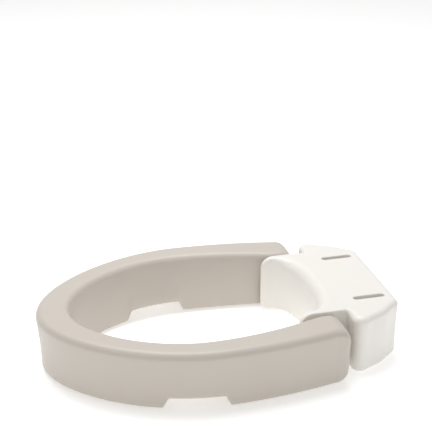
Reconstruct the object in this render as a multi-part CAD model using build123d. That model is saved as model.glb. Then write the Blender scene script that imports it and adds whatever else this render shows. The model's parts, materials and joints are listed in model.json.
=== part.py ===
from build123d import *
import math
import os

os.makedirs("parts", exist_ok=True)

# Hinged riser that lifts a toilet seat above an elongated bowl. A horseshoe ring lies on the
# bowl's rim and swings up on two stub pins that stand out of a block bolted behind it.
# Millimetres. +X is the user's left-right axis, +Y points to the rear, +Z is up.
# The origin is on the floor plane of the bumpers, at the middle of the overall box.

# Overall sizes
overall_length = 528.0
ring_width = 357.0
moulding_height = 89.0
bumper_stand = 4.0
wall = 5.0

# Ring, seen from above
ring_top_flare_front = 6.0
ring_top_flare_side = 3.5
ring_curve_power = 1.8
ring_widest_from_front = 242.0
arm_end_half_width = 155.0
rim_band_front = 50.0
rim_band_side = 42.5
opening_lean_side = 18.0
opening_lean_front = 3.0
opening_widest_from_front = 229.0
ring_top_edge_radius = 9.0

# Underside notches that clear the bowl's rim on each side
notch_middle_from_front = 201.0
notch_length = 94.0
notch_roof_length = 80.0
notch_height = 16.0

# Locating lip round the front of the opening
lip_set_back = 4.0
lip_width = 5.0
lip_depth = 3.5
lip_length_from_front = 116.0

# Hinge
hinge_from_rear = 118.0
hinge_height = 59.0
arm_end_behind_hinge = 20.0
arm_end_top_radius = 22.0
arm_end_bottom_radius = 20.0
pin_radius = 8.0
pin_grip_in_tongue = 18.0
pin_reach_in_arm = 18.0
pin_running_gap = 0.05
pin_end_gap = 1.0
bush_wall = 3.0
bush_end_wall = 3.0
washer_thickness = 3.0
washer_overhang = 8.0
cheek_margin = 2.0
cheek_blend = 3.0
face_gap = 0.3

# Hinge block
tongue_half_width = 101.0
tongue_tip_ahead_of_hinge = 39.4
throat_half_width = 93.0
throat_depth = 48.0
throat_power = 2.5
shoulder_gap = 2.5
shoulder_half_width = 148.0
block_side_bulge = 4.0
block_rear_half_width = 92.0
block_rear_corner_radius = 14.0
block_shoulder_corner_radius = 10.0
block_top_edge_radius = 9.0
block_bottom_edge_radius = 4.0

# The hollow's slanting sides stand this many walls in from the shoulder's corner
hollow_side_walls = 2.2

# Adjustment slots for the seat bolts
slot_spacing = 140.0
slot_length = 49.0
slot_width = 9.0
slot_middle_from_rear = 40.0

# Push-in bumpers and vent plugs
bumper_radius = 13.0
stem_radius = 4.0
bumper_barb_radius = 5.5
bumper_barb_length = 4.0
bumper_side_inset = 26.0
bumper_from_notch = 4.0
bumper_rear_step = 54.0
front_bumper_inward = 4.0
front_bumper_from_front = 64.0
block_bumper_from_slot = 6.0
block_bumper_ahead = 10.0
plug_radius = 7.0
plug_stem_length = 9.0
plug_head = 1.6
plug_ahead_of_band_middle = 2.0
bumper_edge_radius = 1.8
barb_chamfer = 1.2
plug_edge_radius = 0.6
pin_chamfer = 1.5

# The forms that are cut from each other run this far past the faces they cut
form_overrun = 2.0
bore_overrun = 0.5

# Places worked out from the sizes above
front_y = -overall_length / 2
rear_y = overall_length / 2
base_z = bumper_stand
top_z = base_z + moulding_height
hinge_y = rear_y - hinge_from_rear
hinge_z = base_z + hinge_height
arm_end_y = hinge_y + arm_end_behind_hinge
cheek_x = tongue_half_width + washer_thickness + face_gap
tongue_tip_y = hinge_y - tongue_tip_ahead_of_hinge
cheek_start_y = hinge_y - pin_radius - washer_overhang - cheek_margin
ring_widest_y = front_y + ring_widest_from_front
opening_widest_y = front_y + opening_widest_from_front
ring_side_radius = (
    (arm_end_y - ring_widest_y) ** 2 + (ring_width / 2 - arm_end_half_width) ** 2
) / (ring_width - 2 * arm_end_half_width)
arm_sweep_radius = math.hypot(
    arm_end_behind_hinge - arm_end_top_radius,
    moulding_height - hinge_height - arm_end_top_radius,
) + arm_end_top_radius
shoulder_y = hinge_y + arm_sweep_radius + shoulder_gap
shut_y = arm_end_y + 10.0
slot_y = rear_y - slot_middle_from_rear
bush_outer_radius = pin_radius + pin_running_gap + bush_wall
bush_length = pin_reach_in_arm + pin_end_gap + bush_end_wall


def half_width(y, widest_y, tip_y, greatest, power, side_radius):
    """Half-width of an egg outline: a superellipse ahead of the widest place, an arc behind."""
    if y < widest_y:
        share = min(1.0, (widest_y - y) / (widest_y - tip_y))
        return greatest * (1 - share**power) ** (1 / power)
    return greatest - side_radius + math.sqrt(side_radius**2 - (y - widest_y) ** 2)


def egg_points(widest_y, tip_y, greatest, power, side_radius, end_y, side_count=3):
    """Points of the right-hand half from the tip to end_y, closer together at the tip."""
    count = 9
    points = [(0.0, tip_y)]
    for i in range(1, count + 1):
        turn = i / count * math.pi / 2
        y = widest_y - (widest_y - tip_y) * math.cos(turn)
        points.append((half_width(y, widest_y, tip_y, greatest, power, side_radius), y))
    for i in range(1, side_count + 1):
        y = widest_y + (end_y - widest_y) * i / side_count
        points.append((half_width(y, widest_y, tip_y, greatest, power, side_radius), y))
    return points


def egg_face(points, z, end_y):
    """Closed face of the mirrored half outline, shut by a straight line at end_y."""
    left = [(-x, y) for x, y in reversed(points[1:])]
    curve = Spline(*[(x, y, z) for x, y in left + points])
    first = curve @ 0
    last = curve @ 1
    closing = Polyline(
        (last.X, last.Y, z),
        (last.X, end_y, z),
        (first.X, end_y, z),
        (first.X, first.Y, z),
    )
    return make_face([curve, closing])


def ring_outside(inset):
    """Outer form of the ring between its narrower foot and its flared top edge."""
    faces = []
    for z in (base_z - form_overrun, top_z + form_overrun):
        flare = (z - base_z) / moulding_height
        tip_y = front_y + ring_top_flare_front * (1 - flare) + inset
        greatest = ring_width / 2 - ring_top_flare_side * (1 - flare) - inset
        points = egg_points(
            ring_widest_y, tip_y, greatest, ring_curve_power, ring_side_radius, arm_end_y
        )
        faces.append(egg_face(points, z, shut_y))
    return loft(faces, ruled=True)


def opening_points(z, grow):
    """Right-hand half of the opening's outline at a height, from its front to the arm's end.
    The side arc runs smoothly into the flat cheek just ahead of the hinge."""
    share = (z - base_z) / moulding_height
    tip_y = front_y + rim_band_front + opening_lean_front * (1 - share) - grow
    greatest = ring_width / 2 - rim_band_side + grow - opening_lean_side * (1 - share)
    cheek = cheek_x + grow
    run = cheek_start_y - opening_widest_y
    drop = greatest - cheek
    radius = (run**2 + drop**2) / (2 * drop)
    points = []
    for x, y in egg_points(
        opening_widest_y, tip_y, greatest, ring_curve_power, radius, arm_end_y + 5.0, side_count=14
    ):
        if y > opening_widest_y:
            x = (x + cheek + math.hypot(x - cheek, cheek_blend)) / 2
        points.append((x, y))
    return points


def ring_opening(grow):
    """Form of the seat opening, wider at its top, with flat cheeks beside the tongue."""
    faces = []
    for z in (base_z - form_overrun, top_z + form_overrun):
        faces.append(egg_face(opening_points(z, grow), z, shut_y))
    return loft(faces, ruled=True)


def arm_side_form(inset):
    """Side outline of the ring with its rounded arm ends, as a bar across the whole width."""
    low_z = base_z + inset
    high_z = top_z - inset
    end_y = arm_end_y - inset
    start_y = front_y - 20.0
    low_r = arm_end_bottom_radius - inset
    high_r = arm_end_top_radius - inset
    low_arc = ThreePointArc(
        (0, end_y - low_r, low_z),
        (0, end_y - low_r * (1 - math.sqrt(0.5)), low_z + low_r * (1 - math.sqrt(0.5))),
        (0, end_y, low_z + low_r),
    )
    high_arc = ThreePointArc(
        (0, end_y, high_z - high_r),
        (0, end_y - high_r * (1 - math.sqrt(0.5)), high_z - high_r * (1 - math.sqrt(0.5))),
        (0, end_y - high_r, high_z),
    )
    lines = [
        Line((0, start_y, low_z), (0, end_y - low_r, low_z)),
        low_arc,
        Line((0, end_y, low_z + low_r), (0, end_y, high_z - high_r)),
        high_arc,
        Line((0, end_y - high_r, high_z), (0, start_y, high_z)),
        Line((0, start_y, high_z), (0, start_y, low_z)),
    ]
    return extrude(make_face(lines), amount=ring_width, dir=(1, 0, 0), both=True)


def notch_bars(grow):
    """A bar with sloped ends across each side of the ring, for the underside notches."""
    middle = front_y + notch_middle_from_front
    foot = notch_length / 2 + grow
    roof = notch_roof_length / 2 + grow
    side = Polyline(
        (0, middle - foot, base_z - 1.0),
        (0, middle + foot, base_z - 1.0),
        (0, middle + roof, base_z + notch_height + grow),
        (0, middle - roof, base_z + notch_height + grow),
        (0, middle - foot, base_z - 1.0),
    )
    bar = extrude(make_face(side), amount=ring_width, dir=(1, 0, 0), both=True)
    return bar


def disc(radius, length, place, direction):
    """Cylinder that starts at place and runs along direction."""
    return extrude(Plane(origin=place, z_dir=direction) * Circle(radius), amount=length)


def ring_band_middle(y):
    """Distance from the middle line to a bumper's centre on the ring's underside."""
    greatest = ring_width / 2 - ring_top_flare_side
    tip_y = front_y + ring_top_flare_front
    outer = half_width(
        y, ring_widest_y, tip_y, greatest, ring_curve_power, ring_side_radius
    )
    return outer - bumper_side_inset


notch_rear_y = front_y + notch_middle_from_front + notch_length / 2
bumper_rows = {
    "front": front_y + front_bumper_from_front,
    "middle": notch_rear_y + bumper_radius + bumper_from_notch,
    "rear": notch_rear_y + bumper_radius + bumper_from_notch + bumper_rear_step,
}
ring_bumper_places = {}
for row, y in bumper_rows.items():
    x = ring_band_middle(y) - (front_bumper_inward if row == "front" else 0.0)
    ring_bumper_places["ring_bumper_" + row + "_right"] = (x, y)
    ring_bumper_places["ring_bumper_" + row + "_left"] = (-x, y)
ring_plug_y = front_y + ring_top_flare_front + rim_band_front / 2 - plug_ahead_of_band_middle
ring_plug_place = (0.0, ring_plug_y)
block_plug_place = (0.0, slot_y)
block_bumper_y = slot_y - block_bumper_ahead
block_bumper_x = slot_spacing / 2 + slot_width / 2 + wall + bumper_radius + block_bumper_from_slot
block_bumper_places = {
    "block_bumper_right": (block_bumper_x, block_bumper_y),
    "block_bumper_left": (-block_bumper_x, block_bumper_y),
}


def bumper(x, y):
    """Domed push-in bumper: a disc under the wall, a stem through it and a barb above it."""
    pad = disc(bumper_radius, bumper_stand, (x, y, 0), (0, 0, 1))
    rim = pad.edges().group_by(Axis.Z)[0]
    pad = fillet(rim, bumper_edge_radius)
    stem = disc(stem_radius, wall, (x, y, base_z), (0, 0, 1))
    barb = disc(bumper_barb_radius, bumper_barb_length, (x, y, base_z + wall), (0, 0, 1))
    barb = chamfer(barb.edges().group_by(Axis.Z)[-1], barb_chamfer)
    return pad + stem + barb


def stem_bore(x, y):
    """Hole through the bottom wall for the stem of a bumper or a vent plug."""
    start = (x, y, base_z - bore_overrun)
    return disc(stem_radius, wall + 2 * bore_overrun, start, (0, 0, 1))


def vent_plug(x, y):
    """Small round plug that closes the moulding's vent hole from below."""
    head = disc(plug_radius, plug_head, (x, y, base_z - plug_head), (0, 0, 1))
    head = fillet(head.edges().group_by(Axis.Z)[0], plug_edge_radius)
    stem = disc(stem_radius, plug_stem_length, (x, y, base_z), (0, 0, 1))
    return head + stem


def locating_lip():
    """Low lip under the front of the rim, just outside the opening, that drops in the bowl."""
    root_z = base_z + wall / 2
    outer = opening_points(base_z, lip_set_back + lip_width)
    inner = opening_points(base_z, lip_set_back)
    band = egg_face(outer, root_z, shut_y) - egg_face(inner, root_z, shut_y + 5.0)
    keep_y = front_y + lip_length_from_front
    keep = Pos(0, keep_y - ring_width / 2, base_z) * Box(ring_width, ring_width, 4 * wall)
    return extrude(band, amount=lip_depth + wall / 2, dir=(0, 0, -1)) & keep


def flush_edges(body, z):
    """Edges of a body that lie in the level plane at height z."""
    return body.edges().filter_by(
        lambda e: e.bounding_box().size.Z < 0.01 and abs(e.center().Z - z) < 0.01
    )


# Riser ring: one hollow moulding, closed all round, with a blind socket in each cheek
def riser_ring():
    body = ring_outside(0.0) & arm_side_form(0.0)
    body = body - ring_opening(0.0)
    body = fillet(flush_edges(body, top_z), ring_top_edge_radius)
    body = body - notch_bars(0.0)
    hollow = ring_outside(wall) & arm_side_form(wall)
    hollow = hollow - ring_opening(wall) - notch_bars(wall)
    for side in (1, -1):
        cheek = (side * cheek_x, hinge_y, hinge_z)
        hollow = hollow - disc(bush_outer_radius + wall, bush_length + wall, cheek, (side, 0, 0))
        body = body - disc(bush_outer_radius, bush_length, cheek, (side, 0, 0))
    body = body - hollow
    for x, y in list(ring_bumper_places.values()) + [ring_plug_place]:
        body = body - stem_bore(x, y)
    return body + locating_lip()


def rounded(face, y, radius):
    """The face with its two corners at a given y rounded in plan."""
    return fillet(face.vertices().filter_by(lambda v: abs(v.Y - y) < 0.01), radius)


def shoulder_slab():
    """Wide part of the block: straight front and rear, bulged slanting sides, round edges."""
    slant = Vector(rear_y - shoulder_y, shoulder_half_width - block_rear_half_width).normalized()
    middle_x = (shoulder_half_width + block_rear_half_width) / 2 + slant.X * block_side_bulge
    middle_y = (shoulder_y + rear_y) / 2 + slant.Y * block_side_bulge
    lines = []
    for y, half in ((shoulder_y, shoulder_half_width), (rear_y, block_rear_half_width)):
        lines.append(Line((half, y, base_z), (-half, y, base_z)))
    for side in (1, -1):
        lines.append(
            ThreePointArc(
                (side * shoulder_half_width, shoulder_y, base_z),
                (side * middle_x, middle_y, base_z),
                (side * block_rear_half_width, rear_y, base_z),
            )
        )
    plan = rounded(make_face(lines), rear_y, block_rear_corner_radius)
    plan = rounded(plan, shoulder_y, block_shoulder_corner_radius)
    slab = extrude(plan, amount=moulding_height, dir=(0, 0, 1))
    slab = fillet(flush_edges(slab, top_z), block_top_edge_radius)
    return fillet(flush_edges(slab, base_z), block_bottom_edge_radius)


def throat_bar():
    """Bar that cuts the rear of the seat opening: a superellipse between the tongue's tips."""
    z = base_z - form_overrun
    steps = 14
    points = []
    for i in range(steps + 1):
        turn = math.pi * i / steps
        across = math.copysign(abs(math.cos(turn)) ** (2 / throat_power), math.cos(turn))
        along = math.sin(turn) ** (2 / throat_power)
        points.append((throat_half_width * across, tongue_tip_y + throat_depth * along, z))
    curve = Spline(*points, tangents=[(0, 1, 0), (0, -1, 0)])
    mouth = Polyline(
        (throat_half_width, tongue_tip_y, z),
        (throat_half_width, tongue_tip_y - throat_depth, z),
        (-throat_half_width, tongue_tip_y - throat_depth, z),
        (-throat_half_width, tongue_tip_y, z),
    )
    return extrude(
        make_face([curve, mouth]), amount=moulding_height + 2 * form_overrun, dir=(0, 0, 1)
    )


def tongue():
    """Straight-sided front of the block between the ring's arms, rooted in the slab."""
    root_y = shoulder_y + 2 * block_top_edge_radius
    middle = Pos(0, (tongue_tip_y + root_y) / 2, base_z + moulding_height / 2)
    return middle * Box(2 * tongue_half_width, root_y - tongue_tip_y, moulding_height)


def block_hollow():
    """Space inside the block, behind the solid root of the tongue."""
    start_y = hinge_y + pin_radius + wall
    side_in = hollow_side_walls * wall
    right = [
        (tongue_half_width - wall, start_y),
        (tongue_half_width - wall, shoulder_y + wall),
        (shoulder_half_width - side_in, shoulder_y + wall),
        (block_rear_half_width - wall, rear_y - wall),
    ]
    left = [(-x, y) for x, y in reversed(right)]
    loop = Polyline(*[(x, y, base_z + wall) for x, y in right + left + right[:1]])
    return extrude(make_face(loop), amount=moulding_height - 2 * wall, dir=(0, 0, 1))


def slot_bar(side, grow):
    """Upright bar the shape of one adjustment slot, grown on every side."""
    plan = SlotOverall(slot_length + 2 * grow, slot_width + 2 * grow, rotation=90)
    start = Pos(side * slot_spacing / 2, slot_y, base_z - 1.0)
    return extrude(start * plan, amount=moulding_height + 2.0)


# Hinge block: one hollow moulding with a solid tongue that grips the two pins
def hinge_block():
    body = shoulder_slab() + tongue() - throat_bar()
    hollow = block_hollow()
    for side in (1, -1):
        body = body - slot_bar(side, 0.0)
        hollow = hollow - slot_bar(side, wall)
    body = body - hollow
    for side in (1, -1):
        grip = (side * (tongue_half_width - pin_grip_in_tongue), hinge_y, hinge_z)
        body = body - disc(pin_radius, pin_grip_in_tongue + 1.0, grip, (side, 0, 0))
    for x, y in list(block_bumper_places.values()) + [block_plug_place]:
        body = body - stem_bore(x, y)
    return body


def hinge_pin(side):
    """Stub pin pressed in the tongue, with a chamfered free end for snapping the arm on."""
    start = (side * (tongue_half_width - pin_grip_in_tongue), hinge_y, hinge_z)
    length = pin_grip_in_tongue + (cheek_x - tongue_half_width) + pin_reach_in_arm
    pin = disc(pin_radius, length, start, (side, 0, 0))
    return chamfer(pin.edges().filter_by(GeomType.CIRCLE), pin_chamfer)


def hinge_bush(side):
    """Closed-end sleeve in the arm's socket that turns on the pin."""
    start = (side * cheek_x, hinge_y, hinge_z)
    bore_length = pin_reach_in_arm + pin_end_gap
    sleeve = disc(bush_outer_radius, bush_length, start, (side, 0, 0))
    return sleeve - disc(pin_radius + pin_running_gap, bore_length, start, (side, 0, 0))


def thrust_washer(side):
    """Flat ring on the pin that keeps the arm's cheek off the tongue."""
    start = (side * tongue_half_width, hinge_y, hinge_z)
    outer = disc(pin_radius + washer_overhang, washer_thickness, start, (side, 0, 0))
    return outer - disc(pin_radius + face_gap, washer_thickness, start, (side, 0, 0))


pieces = {"riser_ring": riser_ring(), "hinge_block": hinge_block()}
for name, side in (("right", 1), ("left", -1)):
    pieces["hinge_pin_" + name] = hinge_pin(side)
    pieces["hinge_bush_" + name] = hinge_bush(side)
    pieces["thrust_washer_" + name] = thrust_washer(side)
for name, (x, y) in {**ring_bumper_places, **block_bumper_places}.items():
    pieces[name] = bumper(x, y)
pieces["ring_vent_plug"] = vent_plug(*ring_plug_place)
pieces["block_vent_plug"] = vent_plug(*block_plug_place)

for name, piece in pieces.items():
    export_step(piece, "parts/" + name + ".step")
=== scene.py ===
import json
import math

import bmesh
import bpy
import numpy as np
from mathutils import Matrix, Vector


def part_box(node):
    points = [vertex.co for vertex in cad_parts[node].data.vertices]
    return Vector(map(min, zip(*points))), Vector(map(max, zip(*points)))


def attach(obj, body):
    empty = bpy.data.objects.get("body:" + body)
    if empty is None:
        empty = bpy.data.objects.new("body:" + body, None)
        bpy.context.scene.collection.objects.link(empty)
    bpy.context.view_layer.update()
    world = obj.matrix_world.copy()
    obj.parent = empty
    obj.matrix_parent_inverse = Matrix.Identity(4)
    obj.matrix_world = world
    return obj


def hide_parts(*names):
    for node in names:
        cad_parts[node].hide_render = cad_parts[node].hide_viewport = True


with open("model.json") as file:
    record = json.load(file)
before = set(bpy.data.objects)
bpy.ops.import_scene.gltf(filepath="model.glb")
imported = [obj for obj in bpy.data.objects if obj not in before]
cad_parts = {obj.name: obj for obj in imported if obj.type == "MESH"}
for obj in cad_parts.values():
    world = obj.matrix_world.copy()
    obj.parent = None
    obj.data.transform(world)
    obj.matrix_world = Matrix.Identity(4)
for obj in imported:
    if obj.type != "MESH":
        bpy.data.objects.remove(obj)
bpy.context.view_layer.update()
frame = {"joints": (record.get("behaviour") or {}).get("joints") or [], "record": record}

# ---------------------------------------------------------------- camera, light and floor
# The riser stands on a pale sweep under one broad overhead lamp, with a softer lamp on the
# viewer's side and a pale surround. The camera looks down a little at the ring's right side.
MM = 0.001
camera_heading = math.radians(75.28)
camera_height_angle = math.radians(23.5)
camera_distance = 1.703
camera_target = np.array([0.0, 0.0068, 0.2178])
camera_focal_mm = 97.35

toward_camera = np.array([
    math.sin(camera_heading) * math.cos(camera_height_angle),
    -math.cos(camera_heading) * math.cos(camera_height_angle),
    math.sin(camera_height_angle),
])
camera_data = bpy.data.cameras.new("camera")
camera_data.lens = camera_focal_mm
camera_data.sensor_width = 36.0
camera = bpy.data.objects.new("camera", camera_data)
camera.location = camera_target + toward_camera * camera_distance
camera.rotation_euler = (math.pi / 2 - camera_height_angle, 0.0, camera_heading)
bpy.context.scene.collection.objects.link(camera)
bpy.context.scene.camera = camera
bpy.context.scene.view_settings.view_transform = "Standard"


def soft_lamp(name, place, aim, width, power):
    """A square area lamp at place that faces the point aim."""
    data = bpy.data.lights.new(name, "AREA")
    data.size = width
    data.energy = power
    lamp = bpy.data.objects.new(name, data)
    lamp.location = place
    away = np.array(place) - np.array(aim)
    level = math.hypot(away[0], away[1])
    lamp.rotation_euler = (math.atan2(level, away[2]), 0.0, math.atan2(away[0], -away[1]))
    bpy.context.scene.collection.objects.link(lamp)


lamp_aim = (0.0, 0.0, 0.05)
soft_lamp("overhead_lamp", (-0.5, -0.1, 1.9), lamp_aim, 1.3, 28.0)
soft_lamp("viewer_side_lamp", (2.0, -1.2, 1.1), lamp_aim, 1.1, 0.8)

surround = bpy.data.worlds.new("surround")
surround.use_nodes = True
surround.node_tree.nodes["Background"].inputs["Color"].default_value = (1.0, 1.0, 1.0, 1.0)
surround.node_tree.nodes["Background"].inputs["Strength"].default_value = 0.46
bpy.context.scene.world = surround

floor_half = 12.0
floor_mesh = bpy.data.meshes.new("floor")
floor_mesh.from_pydata(
    [(-floor_half, -floor_half, 0), (floor_half, -floor_half, 0),
     (floor_half, floor_half, 0), (-floor_half, floor_half, 0)], [], [(0, 1, 2, 3)])
floor_paint = bpy.data.materials.new("floor_paint")
floor_paint.use_nodes = True
floor_shader = floor_paint.node_tree.nodes["Principled BSDF"]
floor_shader.inputs["Base Color"].default_value = (0.96, 0.96, 0.955, 1.0)
floor_shader.inputs["Roughness"].default_value = 0.9
floor_shader.inputs["Emission Color"].default_value = (1.0, 1.0, 1.0, 1.0)
floor_shader.inputs["Emission Strength"].default_value = 0.36
floor_mesh.materials.append(floor_paint)
floor = bpy.data.objects.new("floor", floor_mesh)
bpy.context.scene.collection.objects.link(floor)

# ---------------------------------------------------------------- riser ring
# One hollow horseshoe, blow moulded in warm off-white polyethylene. Its wall flares to the
# top edge, its opening narrows downwards, and it hangs on the hinge by its two arm ends.
ring_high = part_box("riser_ring")[1]
block_low, block_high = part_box("hinge_block")
hinge = frame["joints"][0]
hinge_y, hinge_z = hinge["pos_m"][1], hinge["pos_m"][2]
base_z = block_low[2]
top_z = block_high[2]
height = top_z - base_z
front_y = -264.0 * MM
arm_end_y = ring_high[1]
end_round_length = 22.0 * MM
arm_root_y = arm_end_y - end_round_length

ring_half_width = 178.2 * MM
ring_widest_y = front_y + 242.0 * MM
ring_side_radius = 764.0 * MM
flare_front = 6.0 * MM
flare_side = 3.5 * MM
flare_bend = 1.3
nose_fullness = 0.135
nose_fullness_power = 1.7
opening_half_width = 136.0 * MM
opening_widest_y = front_y + 229.0 * MM
opening_front_y = front_y + 50.0 * MM
opening_lean_side = 18.0 * MM
opening_lean_front = 3.0 * MM
cheek_x = 104.3 * MM
cheek_start_y = hinge_y - 18.0 * MM
cheek_blend = 3.0 * MM

top_outer_radius = 11.0 * MM
top_inner_radius = 9.0 * MM
bottom_outer_radius = 6.0 * MM
bottom_inner_radius = 3.5 * MM
top_crown = 0.7 * MM
crown_start = 0.8
wall_hollow = 0.6 * MM
arm_end_top_radius = 22.0 * MM
arm_end_bottom_radius = 20.0 * MM
arm_corner_outer = 9.0 * MM
arm_corner_inner = 4.0 * MM

notch_middle_y = front_y + 201.0 * MM
notch_half_foot = 47.0 * MM
notch_half_roof = 40.0 * MM
notch_height = 16.0 * MM
notch_reach = 46.0 * MM
lip_depth = 3.5 * MM
lip_end_y = front_y + 116.0 * MM
lip_middle = 3.0 * MM
lip_half = 2.5 * MM


def smooth_step(x):
    """0 below 0, 1 above 1, and 3x^2 - 2x^3 between."""
    x = np.clip(x, 0.0, 1.0)
    return x * x * (3.0 - 2.0 * x)


def soft_max(a, b, width):
    """The larger of a and b, rounded over about width where they cross."""
    return 0.5 * (a + b + np.sqrt((a - b) ** 2 + width**2))


def nose_half_width(y, tip_y, widest_y, greatest):
    """Ahead of the widest place: greatest * sqrt(1 - q^2) * (1 - fullness * q^power)."""
    q = np.clip((widest_y - y) / (widest_y - tip_y), 0.0, 1.0)
    return greatest * np.sqrt(1.0 - q * q) * (1.0 - nose_fullness * q**nose_fullness_power)


def outer_outline(step, share):
    """Ring's outer plan at a height share (0 foot, 1 top) for steps 0 nose, 1 widest, 2 arm."""
    bend = share**flare_bend
    tip_y = front_y + flare_front * (1.0 - bend)
    greatest = ring_half_width - flare_side * (1.0 - bend)
    turn = np.clip(step, 0.0, 1.0) * math.pi / 2
    nose_y = ring_widest_y - (ring_widest_y - tip_y) * np.cos(turn)
    side_y = ring_widest_y + np.clip(step - 1.0, 0.0, 1.0) * (arm_root_y - ring_widest_y)
    y = np.where(step < 1.0, nose_y, side_y)
    side_x = greatest - ring_side_radius + np.sqrt(ring_side_radius**2 - (y - ring_widest_y) ** 2)
    x = np.where(step < 1.0, nose_half_width(y, tip_y, ring_widest_y, greatest), side_x)
    return x, y


def inner_outline(step, share):
    """Opening's plan at a height share: the same nose curve, then an arc that meets the cheek."""
    tip_y = opening_front_y + opening_lean_front * (1.0 - share)
    greatest = opening_half_width - opening_lean_side * (1.0 - share)
    turn = np.clip(step, 0.0, 1.0) * math.pi / 2
    nose_y = opening_widest_y - (opening_widest_y - tip_y) * np.cos(turn)
    side_y = opening_widest_y + np.clip(step - 1.0, 0.0, 1.0) * (arm_root_y - opening_widest_y)
    y = np.where(step < 1.0, nose_y, side_y)
    drop = greatest - cheek_x
    radius = ((cheek_start_y - opening_widest_y) ** 2 + drop**2) / (2.0 * drop)
    side_x = greatest - (y - opening_widest_y) ** 2 / (2.0 * radius)
    side_x = soft_max(side_x, cheek_x + 0.0 * y, cheek_blend)
    x = np.where(step < 1.0, nose_half_width(y, tip_y, opening_widest_y, greatest), side_x)
    return x, y


def ring_profile():
    """Closed cross-section as three rows: side, distance in from that side, height above the
    foot. Side 0 is the outer wall, 1 the inner wall, 2 the top and 3 the underside, where the
    second row is the share of the way along."""
    rows = []

    def add(side, inward, up):
        rows.append(np.stack([np.full_like(inward, side), inward, up]))

    angle = np.linspace(0.0, math.pi / 2, 9)
    add(0.0, bottom_outer_radius * (1 - np.sin(angle)), bottom_outer_radius * (1 - np.cos(angle)))
    wall = np.linspace(bottom_outer_radius, height - top_outer_radius, 20)[1:]
    add(0.0, np.zeros_like(wall), wall)
    angle = np.linspace(0.0, math.pi / 2, 13)[1:]
    add(0.0, top_outer_radius * (1 - np.cos(angle)),
        height - top_outer_radius * (1 - np.sin(angle)))
    flat = np.linspace(0.0, 1.0, 12)[1:-1]
    rows.append(np.stack([np.full_like(flat, 2.0), flat, np.full_like(flat, height)]))
    angle = np.linspace(0.0, math.pi / 2, 12)
    add(1.0, top_inner_radius * (1 - np.sin(angle)),
        height - top_inner_radius * (1 - np.cos(angle)))
    wall = np.linspace(height - top_inner_radius, bottom_inner_radius, 18)[1:]
    add(1.0, np.zeros_like(wall), wall)
    angle = np.linspace(0.0, math.pi / 2, 9)[1:]
    add(1.0, bottom_inner_radius * (1 - np.cos(angle)), bottom_inner_radius * (1 - np.sin(angle)))
    lip_place = lip_middle + bottom_inner_radius
    lip = np.linspace(lip_place - lip_half, lip_place + lip_half, 11)
    add(1.0, lip, np.zeros_like(lip))
    under = np.linspace(0.0, 1.0, 10)[1:-1]
    rows.append(np.stack([np.full_like(under, 3.0), under, np.zeros_like(under)]))
    return np.concatenate(rows, axis=1)


def ring_steps():
    """Steps along one half of the ring, nose to arm root, closer together at the notch's ends."""
    fine = np.linspace(0.0, 2.0, 4001)
    x_out, y_out = outer_outline(fine, 0.0)
    x_in, y_in = inner_outline(fine, 0.0)
    x, y = (x_out + x_in) / 2, (y_out + y_in) / 2
    length = np.hypot(np.diff(x), np.diff(y))
    crowd = np.ones_like(y)
    for end in (-1.0, 1.0):
        slope_y = notch_middle_y + end * (notch_half_foot + notch_half_roof) / 2
        gap = (y - slope_y) / notch_crowd_reach
        crowd = crowd + notch_crowding * np.exp(-(gap**2))
    gap = (y - lip_end_y) / notch_crowd_reach
    crowd = crowd + np.exp(-(gap**2))
    travelled = np.concatenate([[0.0], np.cumsum(length * (crowd[1:] + crowd[:-1]) / 2)])
    return np.interp(np.linspace(0.0, travelled[-1], ring_sections), travelled, fine)


def notch_floor(y):
    """Height of the underside: 0 on the feet, notch_height in the notch, with soft corners."""
    away = np.abs(y - notch_middle_y)
    slope = (notch_half_foot - away) / (notch_half_foot - notch_half_roof)
    soft = 0.5 * (slope + 1.0 - np.sqrt((slope - 1.0) ** 2 + notch_soften))
    rise = notch_height * 0.5 * (soft + np.sqrt(soft**2 + notch_soften))
    return rise * (away < 1.6 * notch_half_foot)


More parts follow.
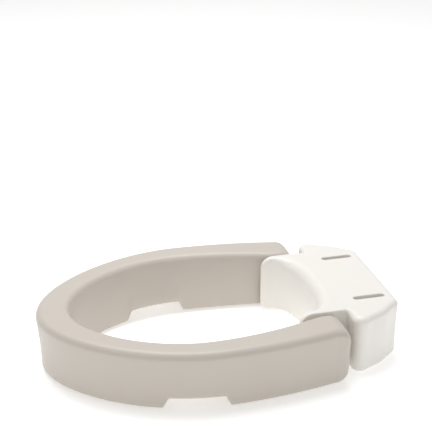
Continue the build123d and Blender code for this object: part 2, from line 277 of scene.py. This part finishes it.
def ring_vertices():
    """Sections of ring_profile() carried from the right arm's end round the nose to the left.
    Each point lies between the outer and inner walls at its own height, and is then moved by
    the notch, the lip, the wall's hollow and, near the arm's end, by the end's round corners."""
    half = ring_steps()
    end_turn = np.linspace(0.0, math.pi / 2, arm_end_sections)[1:]
    step = np.concatenate([half, np.full(end_turn.size, 2.0)])[:, None]
    end_travel = np.concatenate([np.zeros(half.size), end_round_length * np.sin(end_turn)])
    end_travel = end_travel[:, None]
    side, inward, up = (row[None, :] for row in ring_profile())
    share = up / height
    x_out, y_out = outer_outline(step, share)
    x_in, y_in = inner_outline(step, share)
    hollow = wall_hollow * np.sin(math.pi * np.clip(share, 0.0, 1.0)) ** 2
    to_go = end_round_length - end_travel
    outer_cut = corner_cut(arm_corner_outer, to_go)
    inner_cut = corner_cut(arm_corner_inner, to_go)
    band = np.hypot(x_in - x_out, y_in - y_out)
    across_x, across_y = (x_in - x_out) / band, (y_in - y_out) / band
    from_outer = np.where(side == 0.0, inward + outer_cut + hollow, 0.0)
    from_outer = np.where(side == 1.0, band - inward - inner_cut, from_outer)
    top_start, top_end = top_outer_radius + outer_cut, band - top_inner_radius - inner_cut
    from_outer = np.where(side == 2.0, top_start + inward * (top_end - top_start), from_outer)
    lip_inner = lip_middle + bottom_inner_radius + lip_half + inner_cut
    foot_start, foot_end = band - lip_inner, bottom_outer_radius + outer_cut
    from_outer = np.where(side == 3.0, foot_start + inward * (foot_end - foot_start), from_outer)
    x = x_out + across_x * from_outer
    y = y_out + across_y * from_outer + end_travel
    low = corner_cut(arm_end_bottom_radius, to_go - (end_round_length - arm_end_bottom_radius))
    high = corner_cut(arm_end_top_radius, to_go)
    z = low + up * (height - low - high) / height
    crown = np.sin(math.pi * np.clip(from_outer / band, 0.0, 1.0)) - 1.0
    z = z + top_crown * crown * smooth_step((share - crown_start) / (1.0 - crown_start))
    from_inner = band - from_outer
    lip_turn = np.clip((from_inner - lip_middle - bottom_inner_radius) / lip_half, -1.0, 1.0)
    lip = lip_depth * np.cos(lip_turn * math.pi / 2) ** 0.8 * (up == 0.0)
    z = z - lip * smooth_step((lip_end_y - y) / (4.0 * lip_half))
    z = z + notch_floor(y) * (1.0 - smooth_step((up - bottom_inner_radius) / notch_reach))
    right = np.stack([x, y, base_z + z], axis=2)
    left = right[1:] * np.array([-1.0, 1.0, 1.0])
    return np.concatenate([right[::-1], left])


def corner_cut(radius, to_go):
    """How far a round corner of this radius has come in when to_go is left to its end face."""
    left = np.clip(radius - to_go, 0.0, radius)
    return radius - np.sqrt(radius**2 - left**2)


def loop_faces(rows, columns):
    """Quads that join each row of a grid to the next, with the columns closed in a ring."""
    row, column = np.meshgrid(np.arange(rows - 1), np.arange(columns), indexing="ij")
    after = (column + 1) % columns
    corners = [row * columns + column, row * columns + after,
               (row + 1) * columns + after, (row + 1) * columns + column]
    return np.stack(corners, axis=2).reshape(-1, 4)


def end_rings(rim, levels):
    """Rings that shrink evenly from a rim towards its middle, and the middle point last."""
    middle = rim.mean(axis=0)
    shrink = np.linspace(1.0, 0.0, levels + 1)[1:-1]
    rings = middle + (rim[None] - middle) * shrink[:, None, None]
    return np.concatenate([rings.reshape(-1, 3), middle[None]])


def mesh_piece(name, vertices, quads, triangles, paint, body, replaced):
    """A smooth piece from arrays of vertices, quads and triangles, riding on its body."""
    mesh = bpy.data.meshes.new(name)
    mesh.vertices.add(len(vertices))
    mesh.vertices.foreach_set("co", np.asarray(vertices, dtype=np.float32).ravel())
    sizes = np.concatenate([np.full(len(quads), 4), np.full(len(triangles), 3)])
    corners = np.concatenate([np.asarray(quads).ravel(), np.asarray(triangles).ravel()])
    mesh.loops.add(len(corners))
    mesh.loops.foreach_set("vertex_index", corners.astype(np.int32))
    mesh.polygons.add(len(sizes))
    starts = np.concatenate([[0], np.cumsum(sizes)[:-1]])
    mesh.polygons.foreach_set("loop_start", starts.astype(np.int32))
    mesh.update(calc_edges=True)
    mesh.validate()
    mesh.shade_smooth()
    mesh.materials.append(paint)
    piece = bpy.data.objects.new(name, mesh)
    bpy.context.scene.collection.objects.link(piece)
    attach(piece, body)
    if replaced:
        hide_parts(*replaced)
    return piece


def moulded_plastic(name, colour, tint, roughness, grain_height):
    """Satin moulded polyethylene: a faint cloudy tint, uneven sheen, fine pebbled skin."""
    paint = bpy.data.materials.new(name)
    paint.use_nodes = True
    tree = paint.node_tree
    shader = tree.nodes["Principled BSDF"]
    shader.inputs["IOR"].default_value = 1.5
    shader.inputs["Subsurface Weight"].default_value = glow_weight
    shader.inputs["Subsurface Radius"].default_value = glow_reach
    shader.inputs["Subsurface Scale"].default_value = 1.0
    place = tree.nodes.new("ShaderNodeTexCoord")

    def clouds(scale, detail):
        node = tree.nodes.new("ShaderNodeTexNoise")
        node.inputs["Scale"].default_value = scale
        node.inputs["Detail"].default_value = detail
        tree.links.new(place.outputs["Object"], node.inputs["Vector"])
        return node.outputs["Fac"]

    shades = tree.nodes.new("ShaderNodeMix")
    shades.data_type = "RGBA"
    shades.inputs[6].default_value = (*colour, 1.0)
    shades.inputs[7].default_value = (*tint, 1.0)
    tree.links.new(clouds(tint_scale, 3.0), shades.inputs["Factor"])
    tree.links.new(shades.outputs[2], shader.inputs["Base Color"])
    sheen = tree.nodes.new("ShaderNodeMapRange")
    sheen.inputs["To Min"].default_value = roughness - sheen_spread
    sheen.inputs["To Max"].default_value = roughness + sheen_spread
    tree.links.new(clouds(sheen_scale, 4.0), sheen.inputs["Value"])
    tree.links.new(sheen.outputs["Result"], shader.inputs["Roughness"])
    bump = tree.nodes.new("ShaderNodeBump")
    bump.inputs["Strength"].default_value = grain_strength
    bump.inputs["Distance"].default_value = grain_height
    tree.links.new(clouds(grain_scale, 2.0), bump.inputs["Height"])
    tree.links.new(bump.outputs["Normal"], shader.inputs["Normal"])
    return paint


tint_scale = 9.0
sheen_scale = 60.0
sheen_spread = 0.06
grain_scale = 900.0
grain_strength = 0.35
glow_weight = 0.12
glow_reach = (0.006, 0.005, 0.004)
ring_sections = 330
arm_end_sections = 16
notch_crowding = 3.0
notch_crowd_reach = 7.0 * MM
notch_soften = 0.03
cap_levels = 8
ring_colour = (0.615, 0.566, 0.508)
ring_tint = (0.592, 0.542, 0.484)

ring_grid = ring_vertices()
ring_rows, ring_columns = ring_grid.shape[:2]
ring_quads = loop_faces(ring_rows, ring_columns)
ring_points = [ring_grid.reshape(-1, 3)]
ring_triangles = []
for row, flip in ((0, True), (ring_rows - 1, False)):
    rim = ring_grid[row]
    first = sum(len(points) for points in ring_points)
    cap = end_rings(rim, cap_levels)
    ring_points.append(cap)
    cap_rings = first + np.arange((cap_levels - 1) * ring_columns).reshape(-1, ring_columns)
    rings = np.concatenate([[row * ring_columns + np.arange(ring_columns)], cap_rings])
    after = np.roll(rings, -1, axis=1)
    cap_quads = np.stack([rings[:-1], after[:-1], after[1:], rings[1:]], axis=2).reshape(-1, 4)
    fan = np.stack([rings[-1], after[-1], np.full(ring_columns, first + len(cap) - 1)], axis=1)
    ring_quads = np.concatenate([ring_quads, cap_quads[:, ::-1] if flip else cap_quads])
    ring_triangles.append(fan[:, ::-1] if flip else fan)
riser_plastic = moulded_plastic("riser_plastic", ring_colour, ring_tint, 0.42, 0.0002)
mesh_piece("riser_ring_moulding", np.concatenate(ring_points), ring_quads,
           np.concatenate(ring_triangles), riser_plastic, "riser_ring",
           ["riser_ring"])

# ---------------------------------------------------------------- hinge block
# The fixed rear moulding, held on the bowl through its two slots. It is the same off-white
# polyethylene as the ring, but its colour is painted much lighter: painted light, not a whiter
# plastic. Its tongue reaches forward between the ring's arms and grips the pins; the rear of the
# seat opening is scooped out of it with a broad round edge.
tongue_half_width = 101.0 * MM
tongue_tip_y = hinge_y - 39.4 * MM
tongue_tip_radius = 3.0 * MM
throat_half_width = 93.0 * MM
throat_depth = 48.0 * MM
throat_power = 2.5
shoulder_y = hinge_y + 32.75 * MM
shoulder_half_width = 148.0 * MM
shoulder_corner_radius = 14.0 * MM
tongue_root_radius = 4.0 * MM
block_rear_y = block_high[1]
block_rear_half_width = 92.0 * MM
block_rear_corner_radius = 15.0 * MM
side_bulge = 3.6 * MM
slab_draft = 1.6 * MM
slab_hollow = 0.5 * MM

tip_top_radius = 20.0 * MM
tip_bottom_radius = 8.0 * MM
slab_top_radius = 9.0 * MM
slab_bottom_radius = 5.0 * MM
tongue_top_radius = 2.2 * MM
tongue_bottom_radius = 2.5 * MM
throat_top_radius = 16.0 * MM
throat_edge_slope = 0.75
throat_edge_offset = 1.5 * MM
edge_blend = 5.0 * MM
flat_rim = 0.4 * MM

slot_x = 70.0 * MM
slot_y = 224.0 * MM
slot_half_length = 24.5 * MM
slot_half_width = 4.5 * MM
slot_edge_radius = 1.8 * MM

arc_points = 9
path_step = 1.6 * MM
throat_points = 60
block_wall_rows = 16
# Painted light: the block's colour and tint are the ring's plastic painted much lighter.
block_painted_light_colour = (0.885, 0.862, 0.82)
block_painted_light_tint = (0.868, 0.842, 0.795)


def rounded_path(corners, radii, step):
    """Open path through corners, each inner one replaced by an arc of its radius that touches
    both lines, with points added along the straights about one step apart."""
    corners = np.asarray(corners, dtype=float)
    pieces = [corners[:1]]
    for before, corner, after, radius in zip(corners[:-2], corners[1:-1], corners[2:], radii):
        arriving = (corner - before) / np.linalg.norm(corner - before)
        leaving = (after - corner) / np.linalg.norm(after - corner)
        turn = math.atan2(arriving[0] * leaving[1] - arriving[1] * leaving[0], arriving @ leaving)
        across = np.array([-arriving[1], arriving[0]]) * math.copysign(1.0, turn)
        start = corner - arriving * radius * math.tan(abs(turn) / 2)
        count = max(arc_points, math.ceil(radius * abs(turn) / step) + 1) if radius > 0 else 1
        angle = np.linspace(0.0, abs(turn), count)[:, None]
        pieces.append(start + radius * (np.sin(angle) * arriving + (1 - np.cos(angle)) * across))
    path = np.concatenate(pieces + [corners[-1:]])
    line = np.diff(path, axis=0)
    length = np.hypot(*line.T)
    parts = np.where(length > 1.5 * step, np.ceil(length / step), 1).astype(int)
    share = np.arange(parts.sum()) - np.repeat(np.cumsum(parts) - parts, parts)
    share = share / np.repeat(parts, parts)
    filled = np.repeat(path[:-1], parts, axis=0) + np.repeat(line, parts, axis=0) * share[:, None]
    return np.concatenate([filled, path[-1:]])


def block_plan():
    """Closed plan of the block, anticlockwise: a throat with (x/half width)^power plus
    (y/depth)^power equal to 1, round tips, straight tongue sides, shoulders, slanting sides that
    swell by sin^2 of the way along, and the straight rear."""
    turn = np.linspace(math.pi / 2, 0.0, throat_points)
    throat = np.stack([throat_half_width * np.cos(turn) ** (2 / throat_power),
                       tongue_tip_y + throat_depth * np.sin(turn) ** (2 / throat_power)], axis=1)
    throat = throat[(throat[:, 1] > tongue_tip_y + 1.5 * tongue_tip_radius) & (throat[:, 0] > 0)]
    corners = [(0.0, tongue_tip_y + throat_depth), *throat,
               (throat_half_width, tongue_tip_y), (tongue_half_width, tongue_tip_y),
               (tongue_half_width, shoulder_y), (shoulder_half_width, shoulder_y),
               (block_rear_half_width, block_rear_y), (0.0, block_rear_y)]
    radii = [0.0] * len(throat) + [tongue_tip_radius, tongue_tip_radius, tongue_root_radius,
                                   shoulder_corner_radius, block_rear_corner_radius]
    right = rounded_path(corners, radii, path_step)
    side_start = np.array([shoulder_half_width, shoulder_y])
    side = np.array([block_rear_half_width, block_rear_y]) - side_start
    length = np.hypot(*side)
    turned = math.atan2(side[1], side[0])
    first = shoulder_corner_radius * math.tan(turned / 2) / length
    last = 1.0 - block_rear_corner_radius * math.tan((math.pi - turned) / 2) / length
    way = (((right - side_start) @ side) / length**2 - first) / (last - first)
    from_side = np.abs((right - side_start) @ np.array([side[1], -side[0]])) / length
    on_side = (from_side < 2.0 * MM) & (way > 0.0) & (way < 1.0)
    swell = side_bulge * np.sin(math.pi * np.clip(way, 0.0, 1.0)) ** 2 * on_side
    right = right + swell[:, None] * np.array([side[1], -side[0]]) / length
    return np.concatenate([right, right[-2:0:-1] * np.array([-1.0, 1.0])])


def outward_normals(plan):
    """Unit vectors square to a closed anticlockwise plan, from the lines either side."""
    ahead = np.roll(plan, -1, axis=0) - plan
    ahead = ahead / np.linalg.norm(ahead, axis=1)[:, None]
    along = ahead + np.roll(ahead, 1, axis=0)
    along = along / np.linalg.norm(along, axis=1)[:, None]
    return np.stack([along[:, 1], -along[:, 0]], axis=1)


def blended(plan, values, width):
    """Values along a closed plan, averaged with a bell curve of the given width."""
    step = np.linalg.norm(np.roll(plan, -1, axis=0) - plan, axis=1)
    along = np.concatenate([[0.0], np.cumsum(step)])
    total = along[-1]
    count = 2000
    even = np.arange(count) * total / count
    level = np.interp(even, along, np.append(values, values[0]))
    gap = np.minimum(even, total - even)
    bell = np.exp(-0.5 * (gap / width) ** 2)
    mixed = np.fft.irfft(np.fft.rfft(level) * np.fft.rfft(bell / bell.sum()), count)
    return np.interp(along[:-1], np.append(even, total), np.append(mixed, mixed[0]))


def block_walls():
    """Rows of the block's outside from its underside's flat rim up to its top's flat rim."""
    plan = block_plan()
    normal = outward_normals(plan)
    x, y = np.abs(plan[:, 0]), plan[:, 1]
    in_throat = x < throat_half_width + tongue_tip_radius / 2
    on_slab = y > shoulder_y - tongue_root_radius / 2
    throat_radius = np.clip(throat_edge_slope * (tongue_half_width - x) - throat_edge_offset,
                            tongue_top_radius, throat_top_radius)
    broad = smooth_step((y - tongue_tip_y - tongue_tip_radius) / tip_top_radius)
    throat_radius = tongue_top_radius + (throat_radius - tongue_top_radius) * broad
    top = np.where(in_throat, throat_radius, tongue_top_radius)
    top = blended(plan, np.where(on_slab, slab_top_radius, top), edge_blend)
    bottom = blended(plan, np.where(on_slab, slab_bottom_radius, tongue_bottom_radius), edge_blend)
    slab_share = blended(plan, on_slab.astype(float), edge_blend)
    turn = np.linspace(0.0, math.pi / 2, 10)[:, None]
    low = (bottom * (1 - np.sin(turn)), bottom * (1 - np.cos(turn)))
    share = np.linspace(0.0, 1.0, block_wall_rows)[1:-1, None]
    wall = (0.0 * top + 0.0 * share, bottom + (height - top - bottom) * share)
    turn = np.linspace(0.0, math.pi / 2, 16)[:, None]
    high = (top * (1 - np.cos(turn)), height - top * (1 - np.sin(turn)))
    rim_low = (bottom[None] + flat_rim, 0.0 * bottom[None])
    rim_high = (top[None] + flat_rim, 0.0 * top[None] + height)
    inward = np.concatenate([rim_low[0], low[0], wall[0], high[0], rim_high[0]])
    up = np.concatenate([rim_low[1], low[1], wall[1], high[1], rim_high[1]])
    part_up = up / height
    inward = inward + slab_share * slab_draft * (1.0 - part_up)
    inward = inward + slab_share * slab_hollow * np.sin(math.pi * part_up) ** 2
    place = plan[None] - normal[None] * inward[:, :, None]
    return np.concatenate([place, (base_z + up)[:, :, None]], axis=2)


def slot_walls(side):
    """Rows of one slot's inside, top to underside: a stadium, wider round both of its rims."""
    turn = np.linspace(0.0, math.pi, 20)
    front = np.stack([np.cos(turn + math.pi), np.sin(turn + math.pi)], axis=1)
    rear = np.stack([np.cos(turn), np.sin(turn)], axis=1)
    outward = np.concatenate([front, rear])
    straight = slot_half_length - slot_half_width
    offset = np.concatenate([np.full(20, -straight), np.full(20, straight)])
    turn = np.linspace(0.0, math.pi / 2, 6)
    low_grow = np.concatenate([[slot_edge_radius + flat_rim], slot_edge_radius * (1 - np.sin(turn))])
    low_up = np.concatenate([[0.0], slot_edge_radius * (1 - np.cos(turn))])
    middle = np.linspace(slot_edge_radius, height - slot_edge_radius, 12)[1:-1]
    grow = np.concatenate([low_grow, 0.0 * middle, low_grow[::-1]])[::-1, None]
    up = np.concatenate([low_up, middle, height - low_up[::-1]])[::-1, None]
    x = side * slot_x + (slot_half_width + grow) * outward[:, 0]
    y = slot_y + offset + (slot_half_width + grow) * outward[:, 1]
    return np.stack([x, y, base_z + up + 0.0 * x], axis=2)


def fill_flat(mesh, level, facing):
    """Close the open edges that lie at a height with flat triangles that face up or down."""
    work = bmesh.new()
    work.from_mesh(mesh)
    rim = [edge for edge in work.edges if edge.is_boundary
           and all(abs(vert.co.z - level) < 0.01 * MM for vert in edge.verts)]
    made = bmesh.ops.triangle_fill(work, edges=rim, use_beauty=True, normal=(0.0, 0.0, facing))
    for face in made["geom"]:
        if isinstance(face, bmesh.types.BMFace):
            face.smooth = True
    work.to_mesh(mesh)
    work.free()


def round_tips(mesh):
    """Bring the top and underside together at the tongue's tips by two round corners seen from
    the side: each height shrinks by what the corners take from the full height there."""
    points = np.empty(len(mesh.vertices) * 3)
    mesh.vertices.foreach_get("co", points)
    points = points.reshape(-1, 3)
    to_tip = np.where(np.abs(points[:, 0]) > throat_half_width / 2, points[:, 1] - tongue_tip_y, 1.0)
    low = corner_cut(tip_bottom_radius, to_tip)
    high = corner_cut(tip_top_radius, to_tip)
    up = points[:, 2] - base_z
    points[:, 2] = base_z + low + up * (height - low - high) / height
    mesh.vertices.foreach_set("co", points.ravel())
    mesh.update()


block_grids = [block_walls(), slot_walls(1.0), slot_walls(-1.0)]
block_starts = np.cumsum([0] + [grid.shape[0] * grid.shape[1] for grid in block_grids])
block_vertices = np.concatenate([grid.reshape(-1, 3) for grid in block_grids])
block_quads = np.concatenate([loop_faces(*grid.shape[:2]) + start
                              for grid, start in zip(block_grids, block_starts)])
block_plastic = moulded_plastic("block_plastic", block_painted_light_colour, block_painted_light_tint, 0.40, 0.0002)
block = mesh_piece("hinge_block_moulding", block_vertices, block_quads,
                   np.zeros((0, 3), dtype=int), block_plastic, "hinge_block",
                   ["hinge_block"])
fill_flat(block.data, base_z + height, 1.0)
fill_flat(block.data, base_z, -1.0)
round_tips(block.data)

# ---------------------------------------------------------------- bumpers
# Eight soft white rubber feet, pushed through holes in the undersides of the ring and the
# block. Each is a low dome with a shallow dimple and a grip groove, on a barbed stem.
bumper_profile = np.array([
    (0.0, 0.9), (4.6, 0.9), (6.2, 0.0), (8.0, 0.0), (8.5, 0.6), (9.2, 0.6), (9.7, 0.1),
    (11.2, 0.3), (13.0, 2.2), (12.9, 3.95), (4.0, 3.95), (4.0, 9.1), (5.4, 9.1), (5.4, 10.6),
    (4.0, 12.9), (0.0, 12.9)]) * MM
bumper_corner_radii = np.array([
    1.2, 1.2, 0.6, 0.25, 0.25, 0.4, 1.5, 1.6, 0.4, 0.2, 0.1, 0.3, 0.5, 0.5]) * MM
bumper_colour = (0.72, 0.71, 0.67)
bumper_tint = (0.68, 0.665, 0.62)


def turned_vertices(profile, centre, along):
    """A profile of (radius, distance) turned about a line through centre: x = r cos t,
    y = r sin t, z = d for a line along +Z, with the axes changed over for +X and -X."""
    turn = np.arange(turned_sides) * 2 * math.pi / turned_sides
    radius, distance = profile[:, :1], profile[:, 1:]
    a, b = radius * np.cos(turn), radius * np.sin(turn)
    d = distance + 0.0 * a
    order = {"+Z": (a, b, d), "+X": (d, a, b), "-X": (-d, b, a)}[along]
    return np.stack(order, axis=2) + np.asarray(centre)


def turned_piece(name, profile, centre, along, paint, body, closed=False):
    """A turned piece in place of the node of the same name, with closed poles or, when the
    profile comes back to its start, a closed ring."""
    grid = turned_vertices(profile if closed else profile[1:-1], centre, along)
    rows, columns = grid.shape[:2]
    points = grid.reshape(-1, 3)
    quads = loop_faces(rows, columns)
    triangles = np.zeros((0, 3), dtype=int)
    if closed:
        last = (rows - 1) * columns + np.arange(columns)
        after = np.roll(last, -1)
        quads = np.concatenate([quads, np.stack([last, after, after - last[0], last - last[0]], 1)])
    else:
        poles = turned_vertices(profile[[0, -1]], centre, along)[:, 0]
        points = np.concatenate([points, poles])
        first = np.arange(columns)
        last = first + (rows - 1) * columns
        pole = np.full(columns, rows * columns)
        triangles = np.concatenate([np.stack([np.roll(first, -1), first, pole], 1),
                                    np.stack([last, np.roll(last, -1), pole + 1], 1)])
    return mesh_piece(name + "_visual", points, quads, triangles, paint, body, [name])


turned_sides = 96
bumper_rubber = moulded_plastic("bumper_rubber", bumper_colour, bumper_tint, 0.62, 0.00015)
bumper_path = rounded_path(bumper_profile, bumper_corner_radii, 0.8 * MM)
for body, names in frame["record"]["behaviour"]["bodies"].items():
    for name in names:
        if "bumper" in name:
            low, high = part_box(name)
            middle = ((low[0] + high[0]) / 2, (low[1] + high[1]) / 2, low[2])
            turned_piece(name, bumper_path, middle, "+Z", bumper_rubber, body)

# ---------------------------------------------------------------- vent plugs
# A small round plastic plug under each moulding closes the hole it was blown through.
plug_profile = np.array([
    (0.0, 0.3), (4.8, 0.3), (5.3, 0.0), (7.0, 0.4), (7.0, 1.6), (3.95, 1.6), (3.95, 10.5),
    (0.0, 10.5)]) * MM
plug_corner_radii = np.array([0.6, 0.3, 0.7, 0.15, 0.1, 0.5]) * MM
plug_colour = (0.66, 0.63, 0.58)
plug_tint = (0.63, 0.60, 0.55)
plug_plastic = moulded_plastic("plug_plastic", plug_colour, plug_tint, 0.45, 0.0001)
plug_path = rounded_path(plug_profile, plug_corner_radii, 0.8 * MM)
for name, body in (("ring_vent_plug", "riser_ring"), ("block_vent_plug", "hinge_block")):
    low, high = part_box(name)
    middle = ((low[0] + high[0]) / 2, (low[1] + high[1]) / 2, low[2])
    turned_piece(name, plug_path, middle, "+Z", plug_plastic, body)

# ---------------------------------------------------------------- pins, bushes and washers
# On each side a nylon stub pin pressed in the tongue, an acetal bush closed at its far end in
# the arm's socket, and a flat acetal washer between tongue and cheek.
pin_radius = 8.0 * MM
pin_length = 39.3 * MM
pin_grip = 18.0 * MM
bush_radius = 11.05 * MM
bush_bore = 8.05 * MM
bush_length = 22.0 * MM
bush_depth = 19.0 * MM
washer_bore = 8.3 * MM
washer_radius = 16.0 * MM
washer_thickness = 3.0 * MM
pin_chamfer = 1.5 * MM
soft_edge = 0.4 * MM

pin_profile = [(0, 0), (pin_radius - pin_chamfer, 0), (pin_radius, pin_chamfer),
               (pin_radius, pin_length - pin_chamfer), (pin_radius - pin_chamfer, pin_length),
               (0, pin_length)]
bush_profile = [(0, bush_depth), (bush_bore, bush_depth), (bush_bore, 0), (bush_radius, 0),
                (bush_radius, bush_length), (0, bush_length)]
washer_middle = (washer_bore + washer_radius) / 2
washer_profile = [(washer_middle, 0), (washer_radius, 0), (washer_radius, washer_thickness),
                  (washer_bore, washer_thickness), (washer_bore, 0), (washer_middle, 0)]
pin_path = rounded_path(pin_profile, [soft_edge] * 4, 2.0 * MM)
bush_path = rounded_path(bush_profile, [soft_edge / 4, soft_edge, soft_edge, soft_edge], 2.0 * MM)
washer_path = rounded_path(washer_profile, [soft_edge] * 4, 1.5 * MM)[:-1]
nylon_colour = (0.74, 0.73, 0.68)
nylon_tint = (0.70, 0.69, 0.64)
acetal_colour = (0.80, 0.80, 0.78)
acetal_tint = (0.78, 0.78, 0.755)
pin_nylon = moulded_plastic("pin_nylon", nylon_colour, nylon_tint, 0.35, 0.00005)
bush_acetal = moulded_plastic("bush_acetal", acetal_colour, acetal_tint, 0.32, 0.00005)
for name, side, along in (("right", 1.0, "+X"), ("left", -1.0, "-X")):
    pin_place = (side * (tongue_half_width - pin_grip), hinge_y, hinge_z)
    turned_piece("hinge_pin_" + name, pin_path, pin_place, along, pin_nylon, "hinge_block")
    turned_piece("hinge_bush_" + name, bush_path, (side * cheek_x, hinge_y, hinge_z), along,
                 bush_acetal, "riser_ring")
    turned_piece("thrust_washer_" + name, washer_path,
                 (side * tongue_half_width, hinge_y, hinge_z), along, bush_acetal, "hinge_block",
                 closed=True)
